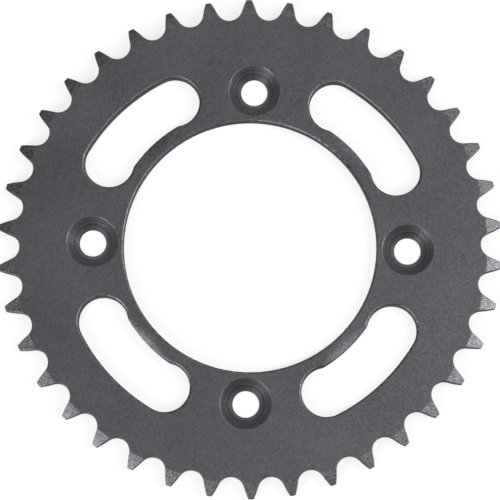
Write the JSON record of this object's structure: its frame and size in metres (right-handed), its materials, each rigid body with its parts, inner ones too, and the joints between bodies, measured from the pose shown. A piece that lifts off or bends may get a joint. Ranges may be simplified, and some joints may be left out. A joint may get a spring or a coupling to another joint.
{
  "type": "rear sprocket",
  "caption": "Flat toothed steel chain wheel with a large centre bore, countersunk bolt holes and curved lightening windows.",
  "frame": {"origin": "centre of the bore at the hub face, the flat face without countersinks", "axes": "+Z along the sprocket's axis, from the hub face to the countersunk outer face; the first bolt hole is on +X"},
  "size_m": [0.1988, 0.199, 0.0058],
  "materials": {
    "dark_steel": "satin dark grey phosphated steel with a fine even grain"
  },
  "bodies": {
    "root": {"sprocket_plate": "dark_steel"}
  },
  "joints": []
}
